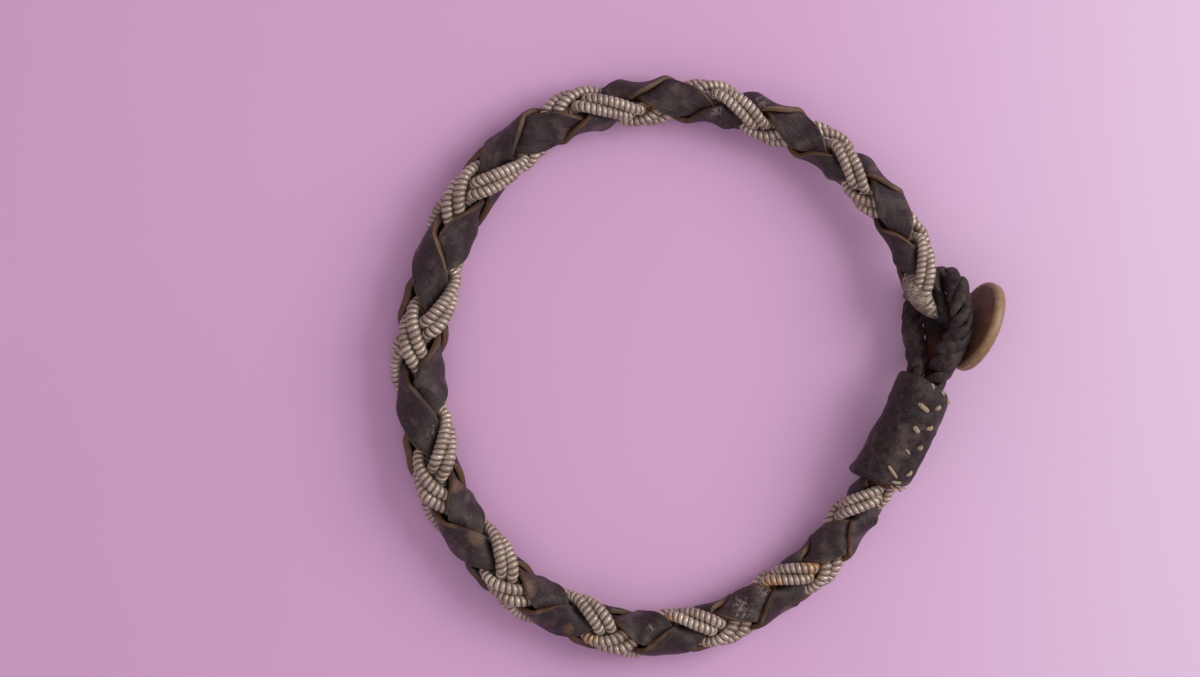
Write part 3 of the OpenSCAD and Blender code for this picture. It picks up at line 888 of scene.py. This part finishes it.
def plaited_thong(number):
    """One of the three straps. It winds round the loop's line a third of a turn on from the
    one before, at middle + swing (cos a, sin a), with its flat face outward. Its winding,
    swing and width sway by size sin(radians gone + shift number). Returns its rings and how
    far out of the plait each point is, from 0 to 1."""
    x = np.linspace(0, len(LOOP) - 1, thong_rings)
    middle, side, upward, full = route(LOOP, x)
    gone = lengths(middle)
    slow, quick, swung, widened = (
        size * np.sin(waves * gone + shift * number)
        for size, waves, shift in (slow_sway, quick_sway, swing_sway, width_sway))
    phase = 2 * np.pi * (gone / plait_period + number / thong_count) + slow + quick
    outward = np.cos(phase)[:, None] * side + np.sin(phase)[:, None] * upward
    swing = plait_swing * (1 + swung)
    line = middle + full * swing[:, None] * outward
    tangent = unit(np.gradient(line, axis=0))
    face = square_to(outward, tangent)
    wide = np.cross(face, tangent)
    turned = 2 * np.pi * np.arange(thong_sides) / thong_sides
    width = full * thong_half_width * (1 + widened)[:, None]
    rings = (line[:, None] + (width * np.cos(turned))[..., None] * wide[:, None]
             + (full * thong_half_height * np.sin(turned))[..., None] * face[:, None])
    relief = thong_lump_height * lumps(rings, thong_lump_length, 11 + number)
    rings = rings + relief[..., None] * face[:, None]
    away = np.linalg.norm(rings - middle[:, None], axis=2) / full
    return rings, np.clip((away - proud_from) / proud_reach, 0, 1)


thongs = [plaited_thong(number) for number in range(thong_count)]
loop = make_piece("plaited_loop", *tubes(*(rings for rings, _ in thongs)), clasp_material,
                  proud=np.concatenate([proud.ravel() for _, proud in thongs]))
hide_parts("clasp_loop")


# BUTTON NECK
# The end of the braid's leather, folded into a tab that goes under the loop to the middle of
# the button and holds it. Its end is folded back below it, with the brown flesh side up.

# Line of the tab from the ring's middle: x, y, z, half width, half height
NECK = np.array([
    [33.2, 10.8, 6.0, 0.5, 0.8], [33.9, 9.7, 6.1, 0.8, 1.1], [34.3, 8.7, 6.1, 1.0, 1.3],
    [34.5, 7.7, 5.9, 1.1, 1.4], [35.0, 6.6, 5.8, 1.2, 1.4], [36.1, 5.6, 5.7, 1.1, 1.1],
    [37.7, 5.5, 5.6, 1, 1],
])
# Line of its folded end, between the legs of the loop, in the same terms
TAIL = np.array([
    [34.2, 7.6, 4.7, 1.8, 0.5], [34.35, 5.6, 4.6, 1.85, 0.5], [34.35, 3.4, 4.1, 1.58, 0.5],
    [33.3, 0.8, 4.1, 1.2, 0.4], [32.6, -1.4, 4.2, 1.2, 0.4],
])
neck_rings, neck_sides = 80, 28
neck_lump_height, neck_lump_length = 0.14, 2.0
neck = oval_tube(NECK, neck_rings, neck_sides)
neck[..., 0] += neck_lump_height * lumps(neck, neck_lump_length, 19)
tab = make_piece("neck_tab", *tubes(neck), clasp_material,
                 proud=np.ones(neck_rings * neck_sides))
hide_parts("button_neck")

tail = oval_tube(TAIL, neck_rings, neck_sides)
folded = make_piece("folded_tab_end", *tubes(tail), flesh_material)


# ANTLER BUTTON
# A disc sawn across an antler: a polished pale rim with fine grain across it, and browner,
# slightly porous faces, partly their own tone and partly painted shade. It stands nearly on
# edge outside the loop, leaning outward at the top.

button_d, button_t, button_edge = 11.7, 1.4, 0.5
button_lean, button_azimuth = 18, -22
button_x, button_y = 38.95, 5.2
button_sides, face_circles, edge_points = 120, 16, 7
face_middle = 0.3
oval_share, wavy_share = 0.012, 0.008
face_lump_height, face_lump_length = 0.04, 6.0
rim_reach = 1.1

# Profile of the disc from the middle of its lower face over the rounded edge to its upper
flat_r = button_d / 2 - button_edge
quarter = np.radians(np.linspace(0, 90, edge_points))
face_r = np.linspace(face_middle, flat_r, face_circles)
profile_r = np.concatenate([
    face_r, flat_r + button_edge * np.sin(quarter[1:]),
    flat_r + button_edge * np.cos(quarter), face_r[::-1][1:],
])
profile_z = np.concatenate([
    np.full(face_circles, -button_t / 2),
    -button_t / 2 + button_edge - button_edge * np.cos(quarter[1:]),
    button_t / 2 - button_edge + button_edge * np.sin(quarter),
    np.full(face_circles - 1, button_t / 2),
])
turned = 2 * np.pi * np.arange(button_sides) / button_sides
# Its outline is slightly oval, with five low waves
uneven = (1 - oval_share * (1 + np.sin(2 * turned + 0.6)) / 2
          - wavy_share * (1 + np.sin(5 * turned)) / 2)
disc = np.stack([
    profile_r[:, None] * uneven * np.cos(turned), profile_r[:, None] * uneven * np.sin(turned),
    np.repeat(profile_z[:, None], button_sides, axis=1),
], axis=-1)
face_lumps = face_lump_height * lumps(disc, face_lump_length, 23)
disc[..., 2] += face_lumps * np.sign(profile_z)[:, None]

# The disc tips over past upright, swings round to its place and stands on the paper
lean = np.radians(button_lean)
button_z = (button_edge + flat_r * np.cos(lean)
            + (button_t / 2 - button_edge) * np.sin(lean))
tip_over, swing_round = np.radians(90 + button_lean), np.radians(button_azimuth)
over = np.array([[np.cos(tip_over), 0, np.sin(tip_over)], [0, 1, 0],
                 [-np.sin(tip_over), 0, np.cos(tip_over)]])
about = np.array([[np.cos(swing_round), -np.sin(swing_round), 0],
                  [np.sin(swing_round), np.cos(swing_round), 0], [0, 0, 1]])
button_points = disc @ (about @ over).T + (ring_x + button_x, ring_y + button_y, button_z)

antler_material, tree, where = new_material("antler", roughness=0.38, specular=0.5)
antler_face = column(tree, "face")
on_rim = stretch(tree, column(tree, "round"), column(tree, "deep"), (4.0, 0.5, 1))
rim_grain = noise(tree, on_rim, 1.5, detail=4.0, roughness=0.6)
antler_clouds = noise(tree, where, 300.0, detail=4.0, roughness=0.6)
antler_pores = noise(tree, where, 2400.0, detail=4.0, roughness=0.65)
rim_colour = tones(tree, rim_grain, 0.35, 0.65, (126, 101, 72), (166, 136, 98))
rim_clouded = mix(tree, spread(tree, antler_clouds, 0.35, 0.7, 0, 0.5),
                  rim_colour, paint(150, 114, 80))
# The faces' brown is partly the antler's own tone and partly painted shade, as where the loop
# shades the inner face.
face_tone_and_shade = tones(tree, antler_clouds, 0.35, 0.65, (84, 58, 44), (122, 84, 58))
face_pores = mix(tree, spread(tree, antler_pores, 0.5, 0.68, 0, 0.6),
                 face_tone_and_shade, paint(70, 50, 40))
antler_colour = mix(tree, spread(tree, antler_face, 0.35, 0.8), rim_clouded, face_pores)
antler_rough = spread(tree, antler_face, 0.3, 0.8, 0.36, 0.62)
rim_relief = raise_surface(tree, rim_grain, 0.00004)
finish_surface(tree, Base_Color=antler_colour, Roughness=antler_rough,
               Normal=raise_surface(tree, antler_pores, 0.00006, rim_relief))

from_rim = np.clip((button_d / 2 - profile_r) / rim_reach, 0, 1)
button = make_piece("antler_disc", *tubes(button_points), antler_material,
                    face=np.repeat(from_rim, button_sides),
                    round=np.tile(turned * button_d / 2, len(profile_r)),
                    deep=np.repeat(profile_z, button_sides))
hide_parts("antler_button")
